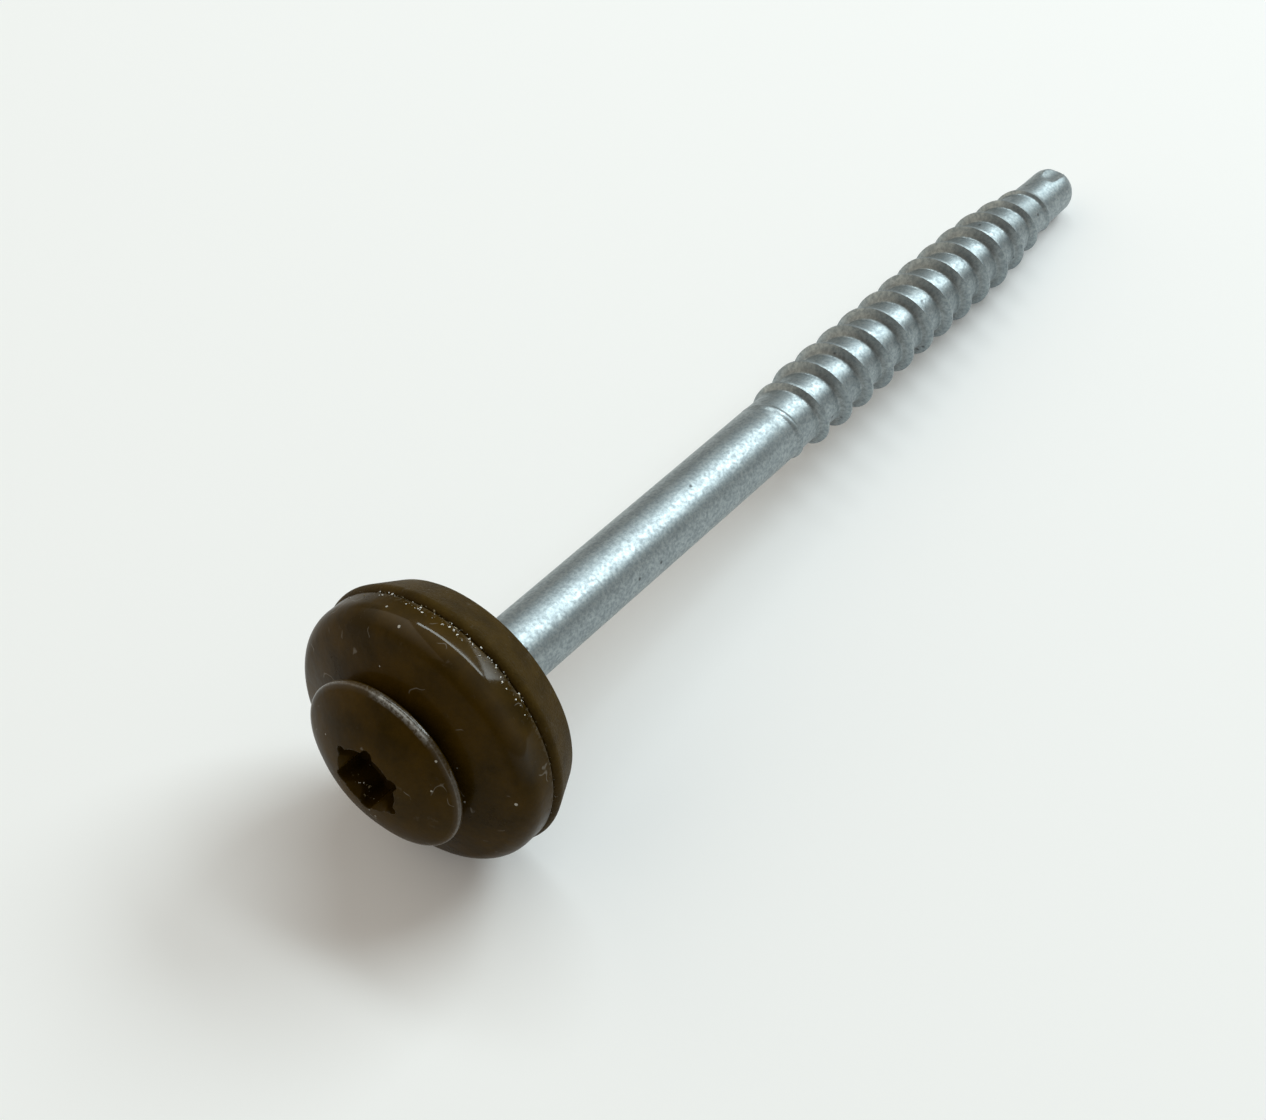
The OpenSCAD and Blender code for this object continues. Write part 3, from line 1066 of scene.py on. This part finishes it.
@dataclass
class ThreadSkin:
    """The threaded stretch, core and crest in one skin that winds up the helix.

    Attributes:
        sizes: The screw's sizes.
        zinc: The thread's material.
        steps_per_turn: Steps of the skin along each turn.
        profile_steps: Steps of the skin across a turn's profile.
        lead_turns: Turns of the grid before the thread, and as many behind it.
        shank_gap: How far the core starts inside the shank's surface.
        nib_proud: How far the core ends outside the nib's surface.
        into_shank: How far the skin reaches back into the shank.
        into_nib: How far it reaches past the thread's end.
        foot_share: Half the width of a full foot, as a share of the size's.
        young_foot: Width of a flank where the thread is lowest, as a share of the full one.
        flank_power: Power of the flank's curve.
        flank_span: Flank heights between which the painted shade of the hollow sets in.
        root_span: Flank heights between which it fades again at the root.
        weld: Distance in millimetres below which points are merged.
    """

    sizes: ScrewSizes
    zinc: bpy.types.Material
    steps_per_turn: int = 72
    profile_steps: int = 30
    lead_turns: float = 1.5
    shank_gap: float = 0.012
    nib_proud: float = 0.02
    into_shank: float = 0.4
    into_nib: float = 0.12
    foot_share: float = 0.56
    young_foot: float = 0.42
    flank_power: float = 1.7
    flank_span: Point = (0.75, 0.1)
    root_span: Point = (0.0, 0.12)
    weld: float = 0.0008

    def inputs(self) -> dict[str, float]:
        """The tree's number inputs.

        Returns:
            Their names and values, in millimetres and degrees.
        """
        s = self.sizes
        wound = math.ceil((s.run_in_len + s.full_len + s.run_out_len) / s.pitch)
        return {
            "Shank radius": s.shank_d / 2 - self.shank_gap, "Root radius": s.root_d / 2,
            "Nib radius": s.nib_d / 2 + self.nib_proud, "Crest radius": s.thread_d / 2,
            "Pitch": s.pitch, "Crest width": s.crest_w, "Foot width": s.thread_foot_w,
            "Start": s.plain_len, "Run in": s.run_in_len, "Full": s.full_len, "Run out": s.run_out_len,
            "Turn": s.thread_turn, "Turns": wound + 2 * self.lead_turns}

    def radius(self, nodes: SkinNodes, height: Socket, across: Socket) -> tuple[Socket, Socket, Socket]:
        """Writes the radius of the skin: the core, and the crest that rises from it.

        Args:
            nodes: The tree.
            height: Station of each point.
            across: How far each point is along the profile of its turn, from 0 to 1.

        Returns:
            The radius, how deep each point is in the hollow, and the station where the thread ends.
        """
        w, get = nodes.wires, nodes.get
        full_at = w.plus(get("Start"), get("Run in"))
        fade_at = w.plus(full_at, get("Full"))
        end_at = w.plus(fade_at, get("Run out"))
        begun = w.span(height, get("Start"), full_at)
        left = w.span(height, fade_at, end_at, 1.0, 0.0)
        core_in = w.span(height, get("Start"), full_at, get("Shank radius"), get("Root radius"), smooth=True)
        core = w.span(height, fade_at, end_at, core_in, get("Nib radius"), smooth=True)
        grown = w.sum("POWER", w.sum("SINE", w.times(begun, math.pi / 2)), self.sizes.rise_power)
        tall = w.times(grown, left)
        away = w.times(w.sum("MINIMUM", across, w.minus(1.0, across)), get("Pitch"))
        half_crest = w.times(get("Crest width"), 0.5)
        wide = w.span(w.sum("MINIMUM", grown, left), 0.0, 1.0, self.young_foot, 1.0)
        flank = w.minus(w.times(get("Foot width"), self.foot_share), half_crest)
        half_foot = w.plus(half_crest, w.times(flank, wide))
        share = w.sum("POWER", w.minus(1.0, w.span(away, half_crest, half_foot)), self.flank_power)
        rise = w.times(w.times(w.minus(get("Crest radius"), core), tall), share)
        # The hollow mask, which the zinc turns into painted shade on the flanks.
        hollow = w.times(w.times(tall, w.span(share, *self.flank_span)), w.span(share, *self.root_span))
        return w.plus(core, rise), hollow, end_at

    def tree(self) -> SkinNodes:
        """Writes the formula of the thread as geometry nodes.

        Returns:
            The tree with its inputs.
        """
        numbers = self.inputs()
        nodes = SkinNodes("thread_skin", numbers, self.zinc)
        w, get = nodes.wires, nodes.get
        grid = w.node("GeometryNodeMeshGrid", {
            "Size X": 1.0, "Size Y": 1.0, "Vertices X": round(numbers["Turns"]) * self.steps_per_turn + 1,
            "Vertices Y": self.profile_steps + 1})
        at = nodes.place()
        turn_no = w.times(w.plus(at["X"], 0.5), get("Turns"))
        across = w.plus(at["Y"], 0.5)
        first = w.minus(get("Start"), w.times(get("Pitch"), self.lead_turns))
        height = w.plus(first, w.times(get("Pitch"), w.plus(turn_no, across)))
        radius, hollow, end_at = self.radius(nodes, height, across)
        low, high = w.minus(get("Start"), self.into_shank), w.plus(end_at, self.into_nib)
        inside = w.times(w.sum("GREATER_THAN", height, low), w.sum("LESS_THAN", height, high))
        kept = w.times(radius, inside)
        behind = w.minus(get("Turn"), 360.0 * self.lead_turns)
        angle = w.sum("RADIANS", w.plus(w.times(turn_no, 360.0), behind))
        place = w.vector(w.times(kept, w.sum("COSINE", angle)), w.times(kept, w.sum("SINE", angle)),
                         w.sum("MINIMUM", w.sum("MAXIMUM", height, low), high))
        marked = nodes.stored(grid.outputs["Mesh"], "hollow", hollow)
        wound = w.node("GeometryNodeSetPosition", {"Geometry": marked, "Position": place}).outputs["Geometry"]
        welded = w.node("GeometryNodeMergeByDistance", {"Geometry": wound, "Distance": self.weld})
        nodes.end(welded.outputs["Geometry"])
        return nodes

    def build(self) -> bpy.types.Object:
        """Runs the nodes and closes the skin.

        Returns:
            The threaded stretch.
        """
        skin = self.tree().baked("thread_skin")
        bm = bmesh.new()
        bm.from_mesh(skin.data)
        bmesh.ops.dissolve_degenerate(bm, dist=1e-5, edges=bm.edges)
        loose = [v for v in bm.verts if not v.link_faces]
        bmesh.ops.delete(bm, geom=loose, context="VERTS")
        bmesh.ops.recalc_face_normals(bm, faces=bm.faces)
        bm.to_mesh(skin.data)
        bm.free()
        skin.data.shade_smooth()
        return skin


@dataclass
class ZincShank:
    """The plain shank, the thread and the blunt nib as one piece of plated steel.

    Attributes:
        sizes: The screw's sizes.
        zinc: The piece's material.
        steps: Steps round the axis.
        under_head: Distance of the shank's upper end from the head's underside.
        end_chamfer: Inset and length of the shank's step down to the thread.
        nib_overlap: How far the nib starts before the thread's end.
        flute_start: Where a flute starts, as a share of the nib's length.
        flute_slope: Slope in degrees at which a flute grows deeper.
        flute_entry: Length over which a flute sets in.
    """

    sizes: ScrewSizes
    zinc: bpy.types.Material
    steps: int = 128
    under_head: float = 0.05
    end_chamfer: Point = (0.012, 0.05)
    nib_overlap: float = 0.3
    flute_start: float = 0.25
    flute_slope: float = 7.0
    flute_entry: float = 0.5

    def rod(self) -> bpy.types.Object:
        """The plain shank from the head's underside to the thread.

        Returns:
            The shank.
        """
        s = self.sizes
        r = s.shank_d / 2
        inset, length = self.end_chamfer
        section = [(r, s.cap_top - self.under_head), (r, 0.0)]
        section += straight((r, 0.0), (r, -s.plain_len), 12)[:-1]
        section += [(r, -s.plain_len + length), (r - inset, -s.plain_len)]
        return lathe("plain_shank", section, self.steps, closed=False)

    def nib(self) -> bpy.types.Object:
        """The nib, with two shallow flutes and a rounded end.

        Returns:
            The nib.
        """
        s = self.sizes
        half = s.nib_d / 2
        low, round_at = s.thread_end - self.nib_overlap, s.tip_end - s.nib_round_h
        stations = [(low + (round_at - low) * k / 14, half) for k in range(15)]
        stations += [(z, r) for r, z in arc(half - s.nib_round_h, round_at, s.nib_round_h, 0, 82, 10)[1:]]
        rings = [[polar(self.flute(turn, r, z), turn, z) for turn in turns(self.steps)] for z, r in stations]
        return spun("nib", rings, (Vector((0, 0, low)), Vector((0, 0, s.tip_end))))

    def flute(self, a: float, r: float, z: float) -> float:
        """Radius of the nib in a direction, cut back by the nearer flute.

        Args:
            a: Direction in radians.
            r: Radius without the flutes.
            z: Station along the axis.

        Returns:
            The radius in millimetres.
        """
        s = self.sizes
        along = z - (s.thread_end + s.nib_len * self.flute_start)
        centre = s.nib_d / 2 + s.flute_r - s.flute_depth - along * math.tan(math.radians(self.flute_slope))
        gap = s.flute_r ** 2 - (centre * math.sin(a)) ** 2
        if along <= 0 or gap <= 0:
            return r
        edge = centre * abs(math.cos(a)) - math.sqrt(gap)
        entry = min(1.0, along / self.flute_entry)
        return r - max(0.0, r - edge) * entry if edge > 0 else r

    def build(self) -> bpy.types.Object:
        """Builds the three stretches and joins them.

        Returns:
            The zinc piece.
        """
        stretches = [self.rod(), self.nib(), ThreadSkin(self.sizes, self.zinc).build()]
        bm = bmesh.new()
        for stretch in stretches:
            sharpen(stretch, degrees=42)
            if "hollow" not in stretch.data.attributes:
                stretch.data.attributes.new("hollow", "FLOAT", "POINT")
            bm.from_mesh(stretch.data)
            bpy.data.objects.remove(stretch)
        mesh = bpy.data.meshes.new(Part.SHANK.value)
        bm.to_mesh(mesh)
        bm.free()
        mesh.materials.append(self.zinc)
        piece = linked(Part.SHANK.value, mesh)
        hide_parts("screw")
        return piece


@dataclass
class CapWasher:
    """The domed metal cap and the thick seal that fills it.

    Lengths are in millimetres. A band is its offset from an edge and half its width.

    Attributes:
        sizes: The screw's sizes.
        paint: The cap's material.
        rubber: The seal's material.
        steps: Steps round the axis.
        lip_r: Radius of the lip's outer edge.
        bore_edge: Bevel of the cap's bore.
        seal_gap: Gap between the seal and the cap's inner face.
        bore_gap: Gap between the seal's bore and the shank.
        bore_chamfer: Chamfer of the seal's bore.
        face_ring_w: Distance of a ring on the sealing face from the seal's side.
        most_wear: The greatest wear of the lip.
        lip_in: How far inside the cap's radius the lip's wear ends.
        lip_band: Band of wear beside the lip's edge.
        shoulder_in: How far inside the cap's radius the polish ends.
        shoulder_band: Band of polish beside the shoulder's foot.
    """

    sizes: ScrewSizes
    paint: bpy.types.Material
    rubber: bpy.types.Material
    steps: int = 256
    lip_r: float = 0.2
    bore_edge: float = 0.1
    seal_gap: float = 0.02
    bore_gap: float = 0.01
    bore_chamfer: float = 0.12
    face_ring_w: float = 3.0
    most_wear: float = 0.75
    lip_in: float = 0.4
    lip_band: Point = (0.15, 0.25)
    shoulder_in: float = 0.7
    shoulder_band: Point = (0.45, 0.9)

    def cap_line(self, t: float, n: int) -> list[Point]:
        """Outline of the cap's outer face, from the lip up to the flat.

        Args:
            t: How far it is drawn in.
            n: Number of steps of the shoulder's arc.

        Returns:
            The points.
        """
        s = self.sizes
        r = s.cap_d / 2
        arc_z, arc_r = s.cap_lip_h + s.cap_wall_h, s.cap_shoulder_r
        shoulder = arc(r - arc_r, arc_z, arc_r - t, 0, 90 - s.cap_slope, n)
        end = (s.cap_flat_d / 2 - t * math.tan(math.radians(s.cap_slope / 2)), s.cap_top - t)
        return shoulder + straight(shoulder[-1], end, 8)

    def cap(self) -> bpy.types.Object:
        """The cap, a thin shell with a rounded lip.

        Returns:
            The cap.
        """
        s = self.sizes
        r, lip, bore, top = s.cap_d / 2, s.cap_lip_h, s.cap_bore_d / 2, s.cap_top
        section = arc(r - self.lip_r, lip + self.lip_r, self.lip_r, -90, 0, 5) + self.cap_line(0.0, 18)
        section += [(bore + self.bore_edge, top), (bore, top - self.bore_edge), (bore, top - s.cap_t)]
        section += self.cap_line(s.cap_t, 10)[::-1] + [(r - s.cap_t, lip)]
        piece = lathe(Part.CAP.value, section, self.steps, closed=True, sink=0.03)
        mark(piece, "wear", self.lip_wear)
        mark(piece, "polish", self.shoulder_polish)
        piece.data.materials.append(self.paint)
        sharpen(piece, degrees=40)
        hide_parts("cap_washer")
        return piece

    def lip_wear(self, spot: Spot) -> float:
        """How worn the outside of the lip is at a spot."""
        outside = spot.r > self.sizes.cap_d / 2 - self.lip_in
        return self.most_wear * near(spot.z, self.sizes.cap_lip_h, self.lip_band) if outside else 0.0

    def shoulder_polish(self, spot: Spot) -> float:
        """How polished the shoulder is at a spot: on one arc of it.

        Args:
            spot: Where on the cap.

        Returns:
            The polish.
        """
        s = self.sizes
        if spot.r <= s.cap_d / 2 - self.shoulder_in:
            return 0.0
        band_mask = near(spot.z, s.cap_lip_h + s.cap_wall_h, self.shoulder_band)
        return band_mask * spot.facing(middle=205, start=0.6, width=0.3)

    def seal(self) -> bpy.types.Object:
        """The rubber ring, bulging a little where it leaves the cap.

        Returns:
            The seal.
        """
        s = self.sizes
        bore, edge_r, bulge_r = s.shank_d / 2 + self.bore_gap, s.seal_edge_r, s.seal_bulge_r
        side_dx = (s.seal_d - s.seal_face_d) / 2 - bulge_r + edge_r
        side_dz = s.cap_lip_h - bulge_r - edge_r
        turned = math.acos((edge_r - bulge_r) / math.hypot(side_dx, side_dz))
        side = math.degrees(math.atan2(side_dz, side_dx) - turned)
        edge = arc(s.seal_face_d / 2 - edge_r, edge_r, edge_r, -90, side, 8)
        bulge = arc(s.seal_d / 2 - bulge_r, s.cap_lip_h - bulge_r, bulge_r, side, 90, 12)
        section = [(bore, self.bore_chamfer), (bore + self.bore_chamfer, 0.0)]
        section += [(s.seal_face_d / 2 - self.face_ring_w, 0.0)] + edge
        section += straight(edge[-1], bulge[0], 8)[:-1] + bulge
        section += self.cap_line(s.cap_t + self.seal_gap, 10) + [(bore, s.cap_top - s.cap_t - self.seal_gap)]
        piece = lathe(Part.SEAL.value, section, self.steps, closed=True, sink=0.04)
        piece.data.materials.append(self.rubber)
        sharpen(piece, degrees=50)
        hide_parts("rubber_seal")
        return piece


@dataclass
class CrumbRing:
    """Crumbs in a ring about the axis, large on one arc and small elsewhere; a share on the arc is painted
    pale as glints.

    Attributes:
        part: The piece.
        finish: The crumbs' material.
        radius: Radius of the ring in millimetres.
        height: Height of the ring over the sealing face.
        crumbs: How many crumbs.
        size: Radius of a large crumb.
        spread: How far crumbs stray across the ring.
        rise: How far they stray along the axis.
        arc_middle: The arc's middle in degrees.
        arc_cos: Cosine of the angle from the middle at which the arc ends.
        faint: Scale of the crumbs outside the arc.
        pale: Share of crumbs in the arc's middle that are painted pale as glints.
        seed: The first of the five seeds.
        smallest: Scale of the smallest crumb.
        mostly_small: Power that makes small crumbs more frequent than large ones.
        thin: Least scale of a crumb along its own axes.
        thick: Greatest scale of a crumb along its own axes.
        full_turn: Greatest turn about each axis in radians.
    """

    part: Part
    finish: bpy.types.Material
    radius: float
    height: float
    crumbs: int
    size: float
    rise: float
    arc_middle: float
    arc_cos: float
    faint: float
    pale: float
    spread: float = 0.03
    seed: int = 7
    smallest: float = 0.22
    mostly_small: float = 2.5
    thin: Triple = (0.3, 0.5, 0.25)
    thick: Triple = (1.0, 1.3, 0.6)
    full_turn: Triple = (6.28, 6.28, 6.28)

    def tree(self) -> SkinNodes:
        """Writes the crumbs as geometry nodes.

        Returns:
            The tree with its inputs.
        """
        nodes = SkinNodes(self.part.value, {
            "Ring radius": self.radius, "Ring height": -self.height, "Crumb size": self.size,
            "Spread": self.spread, "Rise": self.rise, "Arc middle": self.arc_middle,
            "Arc end": self.arc_cos, "Faint": self.faint, "Painted glint share": self.pale}, self.finish)
        w, get = nodes.wires, nodes.get
        ring = w.node("GeometryNodeMeshCircle", {"Vertices": self.crumbs, "Radius": get("Ring radius")})
        at, middle = nodes.place(), w.sum("RADIANS", get("Arc middle"))
        along = w.plus(w.times(at["X"], w.sum("COSINE", middle)), w.times(at["Y"], w.sum("SINE", middle)))
        facing = w.sum("DIVIDE", along, get("Ring radius"))
        near_arc = w.span(facing, get("Arc end"), 1.0, get("Faint"), 1.0, smooth=True)
        stray = w.vector_sum("MULTIPLY", nodes.random_vector(self.seed, (-1, -1, -1), (1, 1, 1)),
                             w.vector(get("Spread"), get("Spread"), get("Rise")))
        offset = w.vector_sum("ADD", stray, w.vector(z=get("Ring height")))
        strewn = w.node("GeometryNodeSetPosition", {"Geometry": ring.outputs["Mesh"], "Offset": offset})
        # Painted glints: on the arc a share of the crumbs are marked pale.
        is_glint_crumb = w.sum("LESS_THAN", nodes.chance(self.seed + 3), w.times(near_arc, get("Painted glint share")))
        points = nodes.stored(strewn.outputs["Geometry"], "pale", is_glint_crumb)
        crumb = w.node("GeometryNodeMeshIcoSphere", {"Subdivisions": 1, "Radius": get("Crumb size")})
        shape = nodes.random_vector(self.seed + 1, self.thin, self.thick)
        small = w.sum("POWER", nodes.chance(self.seed + 4), self.mostly_small)
        share = w.times(near_arc, w.span(small, 0.0, 1.0, to_low=self.smallest))
        scale = w.node("ShaderNodeVectorMath", {0: shape, "Scale": share}, operation="SCALE")
        put = w.node("GeometryNodeInstanceOnPoints", {
            "Points": points, "Instance": crumb.outputs["Mesh"], "Scale": scale.outputs[0],
            "Rotation": nodes.random_vector(self.seed + 2, (0, 0, 0), self.full_turn)})
        nodes.end(put.outputs["Instances"])
        return nodes

    def build(self) -> bpy.types.Object:
        """Runs the nodes.

        Returns:
            The crumbs.
        """
        piece = self.tree().baked(self.part.value)
        piece.data.shade_flat()
        return piece


def lip_flash(sizes: ScrewSizes, finish: bpy.types.Material) -> CrumbRing:
    """The crumbs of moulding flash along the cap's lip, a share of them painted pale as glints."""
    return CrumbRing(Part.FLASH, finish, radius=sizes.cap_d / 2 - 0.05, height=sizes.cap_lip_h + 0.24,
                     crumbs=1100, size=0.17, rise=0.32, arc_middle=194.0, arc_cos=0.55, faint=0.4, pale=0.42)


def recess_grit_and_glints(sizes: ScrewSizes, finish: bpy.types.Material) -> CrumbRing:
    """The few crumbs on the wall of the recess, a share of them painted pale as glints."""
    return CrumbRing(Part.GRIT, finish, radius=sizes.recess_waist_d / 2 - 0.01, height=sizes.head_top - 0.95,
                     crumbs=60, size=0.16, rise=0.4, arc_middle=20.0, arc_cos=0.45, faint=0.0, pale=0.6)


def aimed(thing: bpy.types.Object, at: Triple, aim: Triple) -> None:
    """Places a lamp or a camera in the scene, looking at a point.

    Args:
        thing: The lamp or the camera.
        at: Its place in metres.
        aim: The point it looks at.
    """
    thing.location = at
    thing.rotation_euler = (Vector(aim) - Vector(at)).to_track_quat("-Z", "Y").to_euler()
    bpy.context.scene.collection.objects.link(thing)


@dataclass(frozen=True)
class Lamp:
    """A soft rectangular lamp aimed at the object: place and size in metres, power in watts, colour."""

    name: str
    at: Triple
    size: Point
    power: float
    colour: Triple
    aim: Triple = (0.0, 0.0, 0.005)

    def hang(self) -> None:
        """Adds the lamp to the scene."""
        data = bpy.data.lights.new(self.name, "AREA")
        data.shape = "RECTANGLE"
        data.size, data.size_y = self.size
        data.energy = self.power
        data.color = self.colour
        aimed(bpy.data.objects.new(self.name, data), self.at, self.aim)


@dataclass
class Studio:
    """The floor, the lamps, the world and the camera."""

    floor_colour: Triple = (0.86, 0.86, 0.86)
    floor_glow: float = 0.07
    floor_half: float = 3.0
    room_colour: Triple = (0.88, 0.83, 0.75)
    room_strength: float = 0.3
    lamps: tuple[Lamp, ...] = (
        Lamp("window", at=(0.47, 0.04, 0.876), size=(1.08, 0.14), power=4.1, colour=(0.87, 0.98, 1.0)),
        Lamp("sky", at=(0.74, -0.24, 0.66), size=(0.64, 0.28), power=5.2, colour=(0.87, 0.98, 1.0)),
        Lamp("fill", at=(-0.5, 0.84, 0.52), size=(1.8, 1.6), power=6.0, colour=(1.0, 0.9, 0.74)))
    camera_at: Triple = (-0.098871, -0.061698, 0.118628)
    camera_aim: Triple = (-0.01818, -0.00054, 0.00795)
    lens: float = 59.716
    sensor: float = 36.0
    clip_start: float = 0.005

    def floor(self) -> None:
        """Lays the pale floor, which isn't part of the object."""
        mesh = bpy.data.meshes.new("floor")
        far = self.floor_half
        mesh.from_pydata([(-far, -far, 0), (far, -far, 0), (far, far, 0), (-far, far, 0)], [], [(0, 1, 2, 3)])
        plane = linked("floor", mesh)
        material = bpy.data.materials.new("pale_floor")
        material.use_nodes = True
        w = Wires(material.node_tree)
        ray = w.node("ShaderNodeLightPath").outputs
        seen = w.sum("MAXIMUM", ray["Is Camera Ray"], ray["Is Glossy Ray"])
        seen = w.sum("MAXIMUM", seen, ray["Is Transmission Ray"])
        w.feed(material.node_tree.nodes["Principled BSDF"], {
            "Base Color": (*self.floor_colour, 1.0), "Roughness": 0.9, "Specular IOR Level": 0.1,
            "Emission Color": (1.0, 1.0, 1.0, 1.0), "Emission Strength": w.times(seen, self.floor_glow)})
        mesh.materials.append(material)

    def light(self) -> None:
        """Sets the lamps and the world."""
        for lamp in self.lamps:
            lamp.hang()
        world = bpy.data.worlds.new("room")
        bpy.context.scene.world = world
        world.use_nodes = True
        ground = world.node_tree.nodes["Background"].inputs
        ground["Color"].default_value = (*self.room_colour, 1.0)
        ground["Strength"].default_value = self.room_strength

    def camera(self) -> None:
        """Sets the camera at the photograph's viewing angle."""
        data = bpy.data.cameras.new("camera")
        data.sensor_width = self.sensor
        data.lens = self.lens
        data.clip_start = self.clip_start
        camera = bpy.data.objects.new("camera", data)
        aimed(camera, self.camera_at, self.camera_aim)
        bpy.context.scene.camera = camera

    def build(self) -> None:
        """Builds the whole studio."""
        self.floor()
        self.light()
        self.camera()
        bpy.context.scene.view_settings.view_transform = "Standard"


def main() -> None:
    """Builds the studio, the finishes and the pieces in order."""
    logging.basicConfig(level=logging.INFO, format="%(name)s %(message)s")
    sizes = ScrewSizes()
    laid = LaidAxis(sizes).matrix()
    Studio().build()
    effects = dust_group(), pits_group()
    paint = BrownPaint("brown_paint", *effects).build()
    worn = BrownPaint("brown_paint_head", *effects, gloss=Gloss.WORN).build()
    zinc = ZincPlate("zinc_plate", *effects).build()
    rubber = DarkRubber("dark_rubber", *effects).build()
    flash = DarkRubber("flash_with_painted_glints", *effects, base=(0.07, 0.055, 0.03), rough=(0.08, 0.2),
                       shine=1.0).build()
    washer = CapWasher(sizes, paint, rubber)
    settle(PaintedHead(sizes, worn).build(), laid)
    settle(ZincShank(sizes, zinc).build(), laid)
    settle(washer.cap(), laid)
    settle(washer.seal(), laid)
    settle(lip_flash(sizes, flash).build(), laid)
    settle(recess_grit_and_glints(sizes, flash).build(), laid)


if __name__ == "__main__":
    main()
